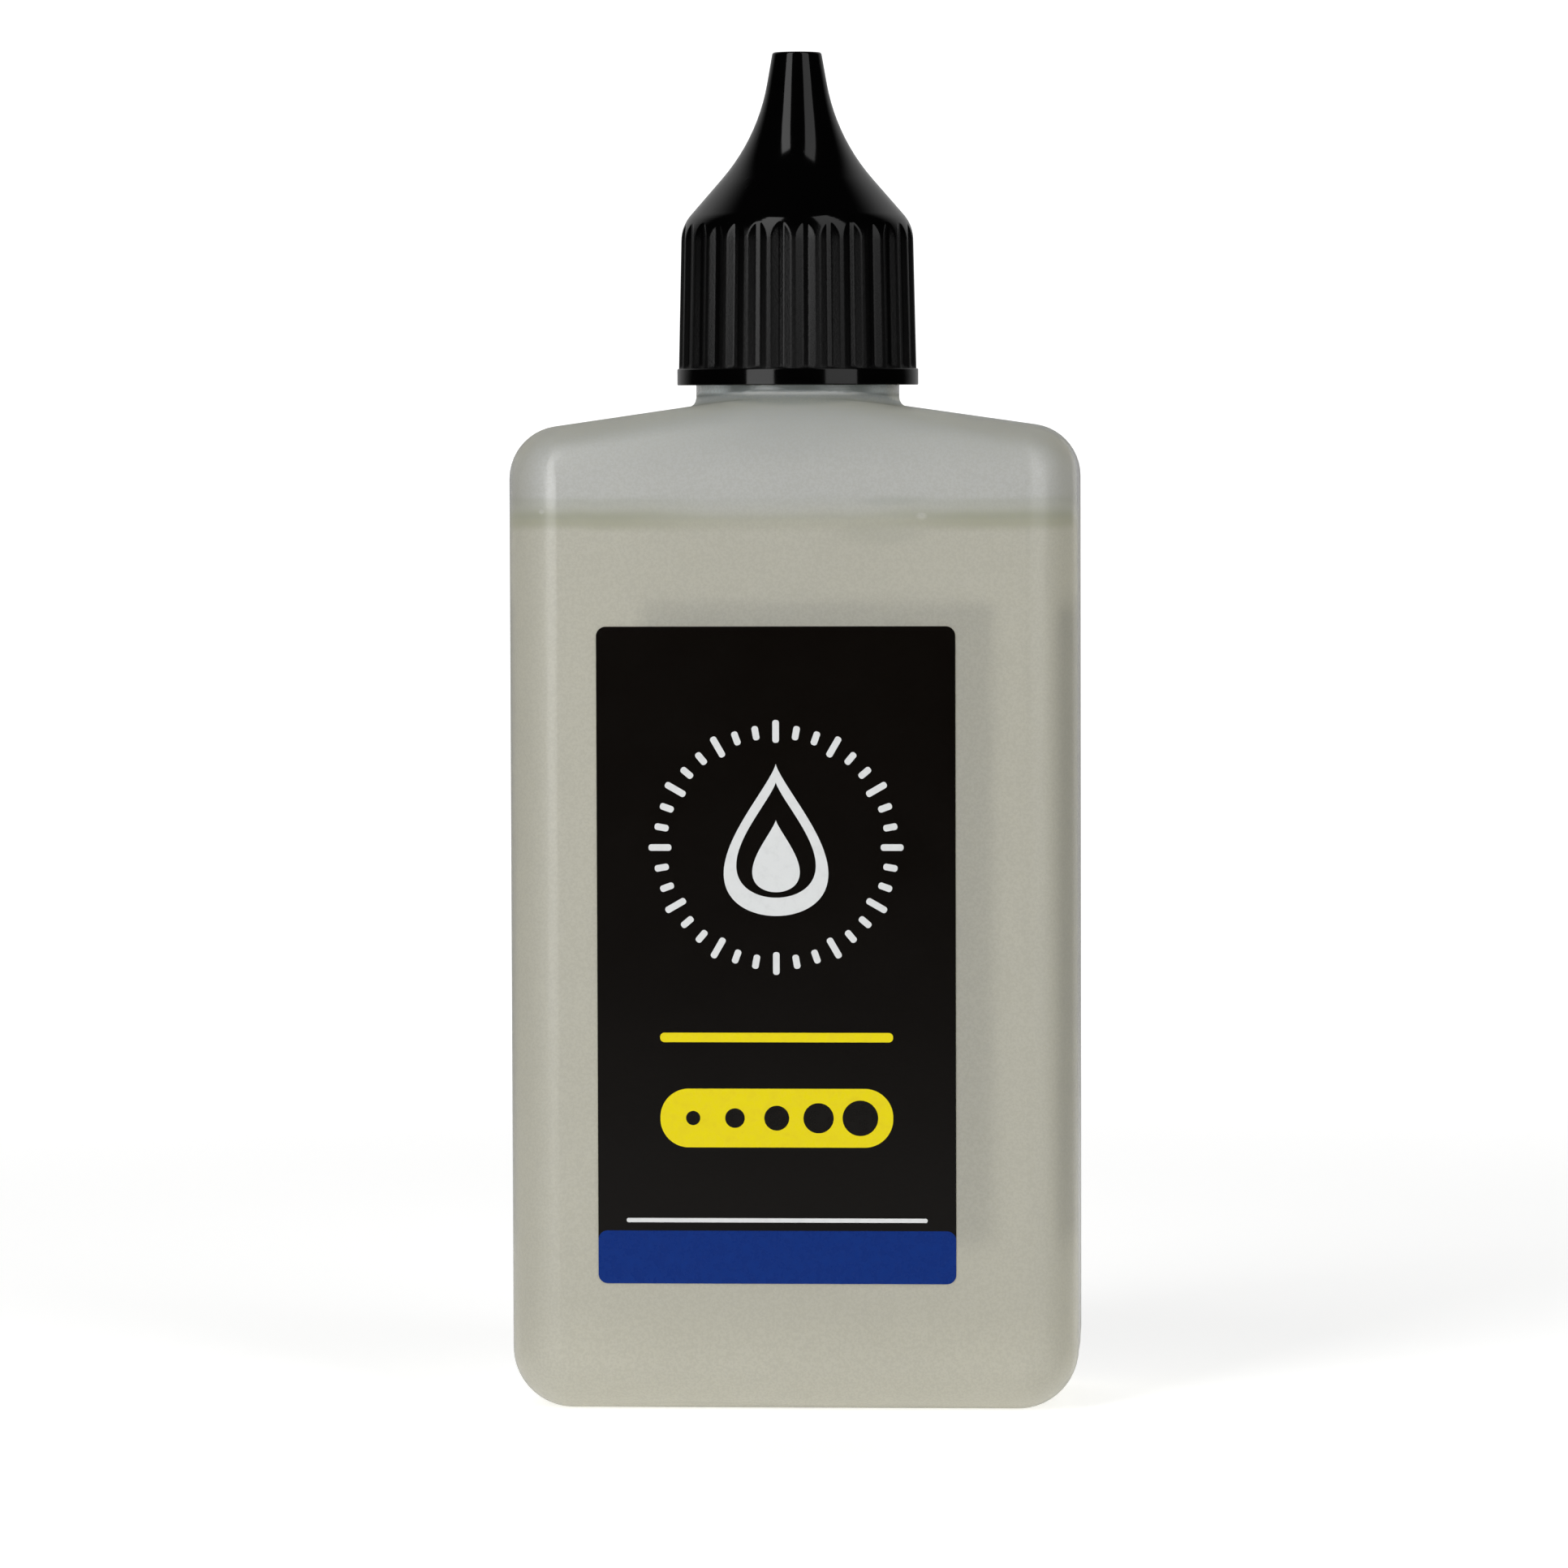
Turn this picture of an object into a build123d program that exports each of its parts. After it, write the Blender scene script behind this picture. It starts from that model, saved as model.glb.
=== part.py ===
# Flat oil bottle with a dropper nozzle in its neck and a fluted spire cap screwed over it.
# Millimetres, +Z up. The origin is on the standing plane under the middle of the bottle,
# the wide front face looks towards -Y and +X is to the right of someone facing it.
import os
from math import cos, radians, tan

from build123d import *

os.makedirs("parts", exist_ok=True)

# Bottle body: a flat block with a low roof-shaped shoulder, blown with an even wall
body_width = 60.0
body_depth = 31.0
shoulder_peak = 107.6  # height at which the two shoulder slopes would meet over the axis
shoulder_slope = 8.2  # degrees down from the peak to either side
peak_round = 60.0  # rounding that joins the two slopes under the neck
edge_round = 5.4  # rounding all round the front and back faces
top_corner_extra = 0.2  # how much larger the outline's upper corners are than the edges
bottom_corner_extra = 1.0  # the same for the lower corners
wall = 1.0

# Hollow pressed up into the base, which leaves a flat ring to stand on
standing_ring = 3.0
push_up_height = 1.2
push_up_taper = 40.0  # degrees
push_up_corner = 4.0

# Neck: a smooth collar that shows under the cap, and a slimmer core that carries the thread
collar_radius = 10.83
collar_under_cap = 1.25  # how far the collar runs on above the cap's lower rim
thread_depth = 1.13  # step from the collar down to the core
neck_wall = 1.4
neck_height = 13.25  # neck's top above the cap's lower rim
neck_root_round = 1.0
neck_rim_round = 0.3

# Lubricant inside
headspace = 13.3  # from the shoulder's peak down to the surface of the oil
fill_clearance = 0.05

# Dropper nozzle: a plug pressed into the bore, a flange on the neck and a slender spout
plug_length = 9.0
plug_wall = 1.0
plug_lead = 0.5
flange_thickness = 1.2
flange_round = 0.3
spout_root_radius = 4.8
spout_root_round = 1.2
spout_tip_radius = 1.45
spout_tip_round = 0.3
spout_wall = 1.1
orifice_radius = 0.7
orifice_length = 2.4

# Screw cap: a plain band, a fluted skirt, a steep shoulder and a slim spire
rim_above_peak = 0.65  # cap's lower rim above the shoulder's peak
cap_clearance = 0.32  # between the cap's bore and the collar
skirt_wall = 1.53  # at the foot of the skirt
skirt_height = 16.95  # from the rim to where the skirt and shoulder lines meet
skirt_draft = 1.25  # degrees
shoulder_angle = 41.0  # degrees from the axis
shoulder_round = 4.3
spire_height = 18.4  # from the top of the skirt to the tip
spire_angle = 10.0  # degrees from the axis
spire_round = 21.0
tip_radius = 2.6
tip_round = 0.3
cap_wall = 1.15
cap_top_wall = 1.4
band_height = 1.75
band_proud = 0.17
band_round = 0.12
mouth_chamfer = 0.4

# Flutes round the skirt: shallow channels with a flat floor between two leaning flanks
flute_count = 30
flute_depth = 0.34
flute_floor = 0.5  # width of the flat floor
flute_flank_angle = 20.0  # degrees between the floor and a flank
first_flute = 0.9  # degrees from +X to a flute, which is where the tightened cap comes to a stop

# Seals inside the cap
seal_ring_inset = 1.1  # from the flange's edge to the middle of the ring that bears on it
seal_ring_width = 0.9
seal_pin_clearance = 0.25  # between the pin and the orifice
seal_pin_reach = 1.5  # how far the pin goes into the orifice
spout_tip_gap = 0.9  # from the spout's tip to the cap's ceiling

# Labels: thin film on the front and back faces
label_width = 37.7
label_height = 69.2
label_corner = 1.0
label_film = 0.1
front_label_shift = -1.65  # middle of the label from the middle of the bottle
front_label_foot = 13.8  # lower edge above the standing plane
back_label_shift = 1.8
back_label_foot = 15.7

# Sizes and heights that several pieces share
fill_level = shoulder_peak - headspace
cap_rim = shoulder_peak + rim_above_peak
collar_top = cap_rim + collar_under_cap
neck_top = cap_rim + neck_height
neck_foot = shoulder_peak - collar_radius
core_radius = collar_radius - thread_depth
bore_radius = core_radius - neck_wall
flange_top = neck_top + flange_thickness
cap_bore_radius = collar_radius + cap_clearance
skirt_foot = cap_rim + band_height
skirt_foot_radius = cap_bore_radius + skirt_wall
skirt_lean = tan(radians(skirt_draft))
shoulder_lean = tan(radians(shoulder_angle))
spire_lean = tan(radians(spire_angle))
skirt_top = cap_rim + skirt_height
skirt_top_radius = skirt_foot_radius - (skirt_top - skirt_foot) * skirt_lean
cap_top = skirt_top + spire_height
cap_ceiling = cap_top - cap_top_wall
spout_top = cap_ceiling - spout_tip_gap


def body_form(inset):
    """Outer form of the bottle's body, drawn in by inset on every side."""
    slope = radians(shoulder_slope)
    half_width = body_width / 2 - inset
    peak = shoulder_peak - inset / cos(slope)
    eaves = peak - half_width * tan(slope)
    edge = edge_round - inset
    foot_corner = edge + bottom_corner_extra
    top_corner = edge + top_corner_extra
    with BuildPart() as form:
        with BuildSketch(Plane.XZ):
            with BuildLine():
                FilletPolyline(
                    (-half_width, inset),
                    (half_width, inset),
                    (half_width, eaves),
                    (0, peak),
                    (-half_width, eaves),
                    radius=[foot_corner, foot_corner, top_corner, peak_round, top_corner],
                    close=True,
                )
            make_face()
        extrude(amount=body_depth / 2 - inset, both=True)
        fillet(form.faces().filter_by(Axis.Y).edges(), edge)
    return form.part


def push_up_form(grow):
    """Hollow pressed up into the base, grown outwards by grow."""
    flat_width = body_width - 2 * (edge_round + bottom_corner_extra)
    flat_depth = body_depth - 2 * edge_round
    with BuildPart() as form:
        with BuildSketch():
            RectangleRounded(
                flat_width - 2 * standing_ring + 2 * grow,
                flat_depth - 2 * standing_ring + 2 * grow,
                push_up_corner + grow,
            )
        extrude(amount=push_up_height + grow, taper=push_up_taper)
    return form.part


def hollow_form(inset):
    """Space inside the bottle: the body drawn in by inset, above the push-up grown by inset."""
    block = body_form(inset)
    push_up = push_up_form(inset)
    with BuildPart() as form:
        add(block)
        add(push_up, mode=Mode.SUBTRACT)
    return form.part


def spire_section(foot_radius, foot, lean, inset, top, rim_round):
    """Half section of the cap: a leaning skirt line, the shoulder cone and the slim spire cone,
    the two cones drawn in by inset, with the bends between them rounded."""
    shoulder_reach = skirt_top_radius + skirt_top * shoulder_lean - inset / cos(radians(shoulder_angle))
    spire_reach = tip_radius + cap_top * spire_lean - inset / cos(radians(spire_angle))
    bend = (shoulder_reach - foot_radius - foot * lean) / (shoulder_lean - lean)
    bend_radius = shoulder_reach - bend * shoulder_lean
    waist = (shoulder_reach - spire_reach) / (shoulder_lean - spire_lean)
    waist_radius = spire_reach - waist * spire_lean
    half_turn = radians(shoulder_angle - spire_angle) / 2
    room_for_round = (top - waist - tip_round) / tan(half_turn)
    waist_round = min(spire_round + inset, room_for_round)
    with BuildSketch(Plane.XZ) as section:
        with BuildLine():
            FilletPolyline(
                (0, foot),
                (foot_radius, foot),
                (bend_radius, bend),
                (waist_radius, waist),
                (spire_reach - top * spire_lean, top),
                (0, top),
                radius=[0, 0, shoulder_round - inset, waist_round, rim_round, 0],
                close=True,
            )
        make_face()
    return section.sketch


# Bottle: blown shell with collar, neck and pressed-up base
outer_form = body_form(0)
outer_push_up = push_up_form(0)
cavity_form = hollow_form(wall)

with BuildPart() as bottle:
    add(outer_form)
    with BuildSketch(Plane.XY.offset(neck_foot)):
        Circle(collar_radius)
    extrude(amount=collar_top - neck_foot)
    root = bottle.edges(Select.LAST).filter_by_position(
        Axis.Z, neck_foot, collar_top, inclusive=(False, False)
    )
    fillet(root, neck_root_round)
    with BuildSketch(Plane.XY.offset(collar_top)):
        Circle(core_radius)
    extrude(amount=neck_top - collar_top)
    add(cavity_form, mode=Mode.SUBTRACT)
    add(outer_push_up, mode=Mode.SUBTRACT)
    with BuildSketch(Plane.XY.offset(neck_top)):
        Circle(bore_radius)
    extrude(amount=neck_foot - neck_top, mode=Mode.SUBTRACT)
    fillet(bottle.faces().sort_by(Axis.Z)[-1].outer_wire().edges(), neck_rim_round)
bottle.part.label = "bottle"
export_step(bottle.part, "parts/bottle.step")

# Lubricant: fills the hollow up to its level surface
filled_form = hollow_form(wall + fill_clearance)

with BuildPart() as lubricant:
    add(filled_form)
    split(bisect_by=Plane.XY.offset(fill_level), keep=Keep.BOTTOM)
lubricant.part.label = "lubricant"
export_step(lubricant.part, "parts/lubricant.step")

# Dropper nozzle: one turned section through plug, flange, spout and orifice
plug_foot = neck_top - plug_length
plug_bore_radius = bore_radius - plug_wall

with BuildPart() as dropper_nozzle:
    with BuildSketch(Plane.XZ):
        with BuildLine():
            FilletPolyline(
                (plug_bore_radius, plug_foot),
                (bore_radius - plug_lead, plug_foot),
                (bore_radius, plug_foot + 2 * plug_lead),
                (bore_radius, neck_top),
                (core_radius, neck_top),
                (core_radius, flange_top),
                (spout_root_radius, flange_top),
                (spout_tip_radius, spout_top),
                (orifice_radius, spout_top),
                (orifice_radius, spout_top - orifice_length),
                (spout_root_radius - spout_wall, neck_top),
                (plug_bore_radius, neck_top),
                radius=[0, 0, 0, 0, 0, flange_round, spout_root_round, spout_tip_round, 0, 0, 0, 0],
                close=True,
            )
        make_face()
    revolve(axis=Axis.Z)
dropper_nozzle.part.label = "dropper_nozzle"
export_step(dropper_nozzle.part, "parts/dropper_nozzle.step")

# Screw cap: turned spire with flutes cut round the skirt, hollowed out, with two seals inside
cap_outside = spire_section(skirt_foot_radius, skirt_foot, skirt_lean, 0, cap_top, tip_round)
cap_inside = spire_section(cap_bore_radius, cap_rim, 0, cap_wall, cap_ceiling, tip_round)
flute_length = 2 * skirt_height
flute_reach = 2 * flute_depth
flute_spread = flute_reach / tan(radians(flute_flank_angle))
seal_ring_inner = core_radius - seal_ring_inset - seal_ring_width / 2
seal_ring_outer = seal_ring_inner + seal_ring_width
seal_pin_radius = orifice_radius - seal_pin_clearance
seal_pin_foot = spout_top - seal_pin_reach


def inside_shoulder_wall(radius):
    """Height of the middle of the cap's shoulder wall at a distance from the axis."""
    half_wall = cap_wall / 2 / cos(radians(shoulder_angle))
    return skirt_top + (skirt_top_radius - half_wall - radius) / shoulder_lean


flute_foot = Plane(
    origin=(skirt_foot_radius - flute_depth, 0, skirt_foot),
    x_dir=(1, 0, skirt_lean),
    z_dir=(-skirt_lean, 0, 1),
)
with BuildPart() as flute_cutter:
    with BuildSketch(flute_foot):
        with BuildLine():
            Polyline(
                (0, -flute_floor / 2),
                (flute_reach, -flute_floor / 2 - flute_spread),
                (flute_reach, flute_floor / 2 + flute_spread),
                (0, flute_floor / 2),
                close=True,
            )
        make_face()
    extrude(amount=flute_length)

with BuildPart() as screw_cap:
    add(cap_outside)
    revolve(axis=Axis.Z)
    with PolarLocations(0, flute_count, start_angle=first_flute):
        add(flute_cutter.part, mode=Mode.SUBTRACT)
    with BuildSketch(Plane.XY.offset(cap_rim)):
        Circle(skirt_foot_radius + band_proud)
    extrude(amount=band_height)
    band_edges = screw_cap.edges(Select.LAST).filter_by(GeomType.CIRCLE).group_by(SortBy.RADIUS)[-1]
    fillet(band_edges, band_round)
    add(cap_inside)
    revolve(axis=Axis.Z, mode=Mode.SUBTRACT)
    mouth = screw_cap.faces().sort_by(Axis.Z)[0].edges().sort_by(SortBy.RADIUS)[0]
    chamfer(mouth, mouth_chamfer)
    with BuildSketch(Plane.XZ):
        with BuildLine():
            Polyline(
                (seal_ring_inner, flange_top),
                (seal_ring_outer, flange_top),
                (seal_ring_outer, inside_shoulder_wall(seal_ring_outer)),
                (seal_ring_inner, inside_shoulder_wall(seal_ring_inner)),
                close=True,
            )
        make_face()
    revolve(axis=Axis.Z)
    with BuildSketch(Plane.XY.offset(seal_pin_foot)):
        Circle(seal_pin_radius)
    extrude(amount=(cap_ceiling + cap_top) / 2 - seal_pin_foot)
screw_cap.part.label = "screw_cap"
export_step(screw_cap.part, "parts/screw_cap.step")


# Labels: film stuck on the flat of the front and back faces
half_label = label_height / 2
front_face = Plane(
    origin=(front_label_shift, -body_depth / 2, front_label_foot + half_label),
    x_dir=(1, 0, 0),
    z_dir=(0, -1, 0),
)
back_face = Plane(
    origin=(back_label_shift, body_depth / 2, back_label_foot + half_label),
    x_dir=(-1, 0, 0),
    z_dir=(0, 1, 0),
)
with BuildPart() as front_label:
    with BuildSketch(front_face):
        RectangleRounded(label_width, label_height, label_corner)
    extrude(amount=label_film)
front_label.part.label = "front_label"
export_step(front_label.part, "parts/front_label.step")

with BuildPart() as back_label:
    with BuildSketch(back_face):
        RectangleRounded(label_width, label_height, label_corner)
    extrude(amount=label_film)
back_label.part.label = "back_label"
export_step(back_label.part, "parts/back_label.step")
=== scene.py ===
# %% [markdown]
# # A flat bottle of chain oil under a fluted spire cap
# The solids come from CAD: a blown bottle, the oil in it, a dropper nozzle, a screw cap and
# two labels. Blender adds what the eye goes by: milky plastic that lets light through, flutes
# with soft edges, the threads, the mould's parting line, ink on the labels, and a studio.
# The first step loads the solids as a fixed frame. Nothing in it is moved, so everything
# made below goes where the solids say.

# %% Load the frame and keep the solids' box
from math import cos, pi, radians, sin, tan

import bmesh
import bpy
import numpy as np
from mathutils import Matrix, Vector


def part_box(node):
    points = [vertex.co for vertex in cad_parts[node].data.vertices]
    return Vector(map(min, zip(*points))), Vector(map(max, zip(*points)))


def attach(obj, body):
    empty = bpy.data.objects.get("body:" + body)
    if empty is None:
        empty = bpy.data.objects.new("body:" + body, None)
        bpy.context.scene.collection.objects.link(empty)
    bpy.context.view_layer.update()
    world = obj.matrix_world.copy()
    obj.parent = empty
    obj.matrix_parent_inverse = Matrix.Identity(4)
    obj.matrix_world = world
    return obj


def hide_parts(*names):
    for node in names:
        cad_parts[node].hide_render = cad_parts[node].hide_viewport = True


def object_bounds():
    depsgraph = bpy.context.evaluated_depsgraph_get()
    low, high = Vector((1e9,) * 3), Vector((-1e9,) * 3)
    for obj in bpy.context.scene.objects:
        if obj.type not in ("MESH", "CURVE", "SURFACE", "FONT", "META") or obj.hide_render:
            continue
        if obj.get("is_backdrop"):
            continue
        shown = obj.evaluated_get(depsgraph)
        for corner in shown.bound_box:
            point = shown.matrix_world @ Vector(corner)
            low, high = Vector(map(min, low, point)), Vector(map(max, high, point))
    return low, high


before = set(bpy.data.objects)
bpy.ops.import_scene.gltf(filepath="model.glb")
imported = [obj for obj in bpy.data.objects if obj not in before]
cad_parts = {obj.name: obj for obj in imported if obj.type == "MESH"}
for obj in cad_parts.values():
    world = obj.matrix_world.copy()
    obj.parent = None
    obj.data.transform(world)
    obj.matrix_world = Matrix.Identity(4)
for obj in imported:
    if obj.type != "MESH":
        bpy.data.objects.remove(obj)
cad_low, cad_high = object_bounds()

MM = 0.001  # the frame is in metres, and the sizes below are in millimetres
print("solids:", ", ".join(sorted(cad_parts)))


# %% [markdown]
# ## Tools for surfaces
# A moulded piece is a section carried round an axis or along a path. On a grid of rows and
# columns that is one array sum: no vertex is placed by hand. The helpers below join the grid's
# neighbours into quads, close seams and poles by merging what coincides, and turn every
# face outwards.

# %% Helpers that turn grids of points into pieces
MERGE = 0.0005  # points closer than this are one point


def grid_quads(rows, columns, round_rows=False, round_columns=True):
    """Corner numbers of the quads between neighbouring rows and columns of a grid, which
    closes on itself across the rows or the columns where asked."""
    index = np.arange(rows * columns).reshape(rows, columns)
    if round_columns:
        index = np.hstack([index, index[:, :1]])
    if round_rows:
        index = np.vstack([index, index[:1]])
    corners = (index[:-1, :-1], index[:-1, 1:], index[1:, 1:], index[1:, :-1])
    return np.stack(corners, axis=-1).reshape(-1, 4)


def make_piece(name, points, quads, material, body, slot, smooth=True, marks=None):
    """A mesh piece from points in millimetres and quads, merged and turned outwards. marks is
    a named number for each point, which the material can read."""
    mesh = bpy.data.meshes.new(name)
    mesh.from_pydata((points.reshape(-1, 3) * MM).tolist(), [], quads.tolist())
    for mark, values in (marks or {}).items():
        layer = mesh.attributes.new(mark, "FLOAT", "POINT")
        layer.data.foreach_set("value", values.astype(np.float32).ravel())
    work = bmesh.new()
    work.from_mesh(mesh)
    bmesh.ops.remove_doubles(work, verts=work.verts, dist=MERGE * MM)
    bmesh.ops.recalc_face_normals(work, faces=work.faces)
    work.to_mesh(mesh)
    work.free()
    mesh.polygons.foreach_set("use_smooth", np.full(len(mesh.polygons), smooth))
    mesh.materials.append(material)
    piece = bpy.data.objects.new(name, mesh)
    bpy.context.scene.collection.objects.link(piece)
    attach(piece, body)
    print(f"{name}: {len(mesh.vertices)} points, {len(mesh.polygons)} faces")
    return piece


def rounded_path(corners, radii, step, small_step=None):
    """Straight runs between corners, with each corner replaced by an arc of its radius that
    is tangent to both runs. On an arc, the arms from its centre are mixed by sines. A step is
    in degrees, and corners under a millimetre may have a coarser one."""
    corners = np.asarray(corners, float)
    path = [corners[:1]]
    for before, corner, after, radius in zip(corners, corners[1:], corners[2:], radii):
        to_before = (before - corner) / np.linalg.norm(before - corner)
        to_after = (after - corner) / np.linalg.norm(after - corner)
        turn = pi - np.arccos(np.clip(to_before @ to_after, -1, 1))
        if radius == 0 or turn < 1e-6:
            path.append(corner[None])
            continue
        middle = to_before + to_after
        centre = corner + middle / np.linalg.norm(middle) * radius / cos(turn / 2)
        first = corner + to_before * radius * tan(turn / 2) - centre
        last = corner + to_after * radius * tan(turn / 2) - centre
        degrees = small_step if small_step and radius < 1 else step
        share = np.linspace(0, 1, max(3, int(np.degrees(turn) / degrees) + 2))[:, None]
        arms = first * np.sin((1 - share) * turn) + last * np.sin(share * turn)
        path.append(centre + arms / sin(turn))
    path.append(corners[-1:])
    return np.vstack(path)


def carry(path, out, side, profile, swell):
    """A flat profile carried along a path: each point is the path's point, plus the profile's
    width along side, plus its height along out times the swell at that place."""
    height = swell[:, None] * profile[None, :, 1]
    width = np.broadcast_to(profile[None, :, 0], height.shape)
    return path[:, None] + out[:, None] * height[..., None] + side[:, None] * width[..., None]


def close_ends(grid):
    """Draws the first and last row of a grid together into single points."""
    grid[0] = grid[0].mean(0)
    grid[-1] = grid[-1].mean(0)
    return grid


# %% Helpers that build materials from nodes
WHITE = (1, 1, 1, 1)


def new_material(name):
    """An empty material, its node tree, its output, and the place of a point on the object."""
    material = bpy.data.materials.new(name)
    material.use_nodes = True
    tree = material.node_tree
    tree.nodes.clear()
    output = tree.nodes.new("ShaderNodeOutputMaterial")
    place = tree.nodes.new("ShaderNodeTexCoord").outputs["Object"]
    return material, tree, output, place


def input_of(made, key):
    """A node's input, by its number as in n0 or n1, or by its name with _ for a space."""
    if key[0] == "n" and key[1:].isdigit():
        return made.inputs[int(key[1:])]
    return made.inputs[key.replace("_", " ")]


def node(tree, kind, settings=None, **inputs):
    """A node with its settings, and with its inputs set to values or linked to sockets."""
    made = tree.nodes.new("ShaderNode" + kind)
    for key, value in (settings or {}).items():
        setattr(made, key, value)
    for key, value in inputs.items():
        socket = input_of(made, key)
        if isinstance(value, bpy.types.NodeSocket):
            tree.links.new(value, socket)
        else:
            socket.default_value = value
    return made


def number(tree, operation, first, second=0.0, third=0.0, clamp=False):
    """One step of arithmetic on numbers or sockets."""
    settings = {"operation": operation, "use_clamp": clamp}
    return node(tree, "Math", settings, n0=first, n1=second, n2=third).outputs[0]


def rise(tree, value, low, high):
    """0 at low and 1 at high, which may be the smaller, with a smooth change between."""
    settings = {"interpolation_type": "SMOOTHSTEP"}
    return node(tree, "MapRange", settings, Value=value, From_Min=low, From_Max=high).outputs[0]


def blend_colours(tree, share, first, second, kind="MIX"):
    """A mix of two colours by a share."""
    settings = {"data_type": "RGBA", "blend_type": kind}
    return node(tree, "Mix", settings, n0=share, n6=first, n7=second).outputs[2]


def mix_shaders(tree, share, first, second):
    """A mix of two shaders by a share."""
    return node(tree, "MixShader", None, n0=share, n1=first, n2=second).outputs[0]


def bump(tree, height, distance, strength=1.0, normal=None):
    """A surface normal turned by a height map, with the height's full size in metres."""
    made = node(tree, "Bump", None, Height=height, Distance=distance, Strength=strength)
    if normal is not None:
        tree.links.new(normal, made.inputs["Normal"])
    return made.outputs[0]


def noise(tree, place, size, detail=2.0, roughness=0.5):
    """Cloudy noise whose blotches are about size metres across."""
    made = node(tree, "TexNoise", None, Vector=place, Scale=1 / size)
    made.inputs["Detail"].default_value = detail
    made.inputs["Roughness"].default_value = roughness
    return made.outputs["Fac"]


def satin_skin(material, tree, output, **inputs):
    """A Principled surface with these inputs, as the whole of a material."""
    skin = node(tree, "BsdfPrincipled", None, **inputs).outputs[0]
    tree.links.new(skin, output.inputs["Surface"])
    print(f"{material.name}: {len(tree.nodes)} nodes")
    return material


def colour(red, green, blue):
    """A colour in the 0 to 255 values of a screen, as the linear values that shaders use."""
    screen = np.array([red, green, blue]) / 255
    linear = np.where(screen <= 0.04045, screen / 12.92, ((screen + 0.055) / 1.055) ** 2.4)
    return (*linear.tolist(), 1.0)


# %% [markdown]
# ## Milky bottle wall
# Natural polyethylene is a milky plastic a millimetre thick. Most light scatters at the wall,
# some of it glows through, and a little passes nearly straight, so that the oil's level and the
# far label show as soft shadows. A volume shader would scatter for real, but it is slow and
# noisy. So the wall is a mix: a scattering coat, a Translucent share and a rough Refraction
# share, with a satin gloss over all of it by Fresnel. Each wall of the shell has two faces, and
# only the one that light or sight meets first does the work: the back of a face is clear.
#
# The plastic is one colour, but it looks different with oil, air, the nozzle or a thick corner
# behind it. Those tones are laid one over the other by where a point lies on the bottle, and
# light and shade are painted in among them: a paler foot, a darker shoulder, neck root and bore,
# a paler neck, a dark line at the oil's surface, darker narrow sides with pale rims, and
# reflections and glints at the oil's line.

# %% Tones of the wall, and where each begins and ends
fill_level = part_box("lubricant")[1][2]
front_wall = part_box("bottle")[0][1]
tones = {
    "oil behind": (0.83, 0.83, 0.778),
    "air behind": (0.815, 0.828, 0.82),
    # painted light: the foot is paler, as if lit by the floor below it
    "foot": (0.90, 0.896, 0.83),
    # painted shade: the shoulder is darker where it faces the dark above, and darker still at its ends
    "shoulder": (0.56, 0.59, 0.59),
    "shoulder ends": (0.37, 0.38, 0.37),
    # painted shade: a dark bluish ring round the neck's root under the cap
    "neck root": (0.38, 0.43, 0.45),
    # painted light: the neck below the cap is paler and bluer than the plastic, for light carried
    # through its thick wall
    "neck": (0.88, 0.95, 0.97),
    "neck in the cap": (0.78, 0.80, 0.79),
    # painted shade: the bore's inside is dark, as the shade in it
    "bore": (0.12, 0.17, 0.19),
    # a band of oil wetting the wall, with a painted dark line of shade at the oil's surface
    "wet_band_and_line_shade": (0.20, 0.26, 0.0),
    # painted shade near the narrow sides, and painted light on the flats of their rims
    "narrow side": (0.45, 0.43, 0.31),
    "side rim": (0.97, 0.97, 0.91),
    # painted reflection in the oil's surface
    "painted_reflection": (0.40, 0.45, 0.40),
    # painted glint of air caught at the oil's line
    "bubble_glint": (0.98, 0.98, 0.97),
    "mottle": (0.5, 0.5, 0.43),
    "frost": (0.58, 0.58, 0.53),
    "speck": colour(70, 66, 52)[:3],
}
zones = {  # from none to full, in millimetres
    "foot": (12.0, 4.0),
    "shoulder": (98.5, 106.2),
    "shoulder ends": (14.0, 25.0),
    "neck root": (105.7, 106.2),
    "neck root radius": (13.5, 12.2),
    "neck": (107.1, 107.6),
    "neck in the cap": (108.4, 109.2),
    "bore": (102.0, 106.0),
    "bore radius": (9.2, 8.8),
    "narrow side": (25.8, 29.6),
    "towards the sides": (5.0, 21.0),
    "dull shoulder": (98.5, 103.0),
    "air behind": (0.2, 2.3),  # this and those below are from the oil's line
    "wet top": (2.5, 1.8),
    "wet foot": (-1.6, -0.4),
    "wetter": (1.3, 0.4),
    "fine line": (0.6, 0.0),
}
print(f"oil stands {fill_level / MM:.1f} mm high, and the wall has {len(tones)} tones")


# %% Helpers that lay one tone over another
def times(tree, first, second):
    """The product of two shares."""
    return number(tree, "MULTIPLY", first, second)


def within(tree, value, zone):
    """How far a point is inside a zone, from 0 to 1."""
    start, full_at = zones[zone]
    return rise(tree, value, start * MM, full_at * MM)


def lay(tree, tone, share, over, strength=1.0, kind="MIX"):
    """A named tone laid over another, by a share of the surface times a strength."""
    share = share if strength == 1 else times(tree, share, strength)
    return blend_colours(tree, share, tone, (*tones[over], 1), kind)


def length_of(tree, vector):
    """The length of a vector."""
    return node(tree, "VectorMath", {"operation": "LENGTH"}, n0=vector).outputs["Value"]


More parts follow.
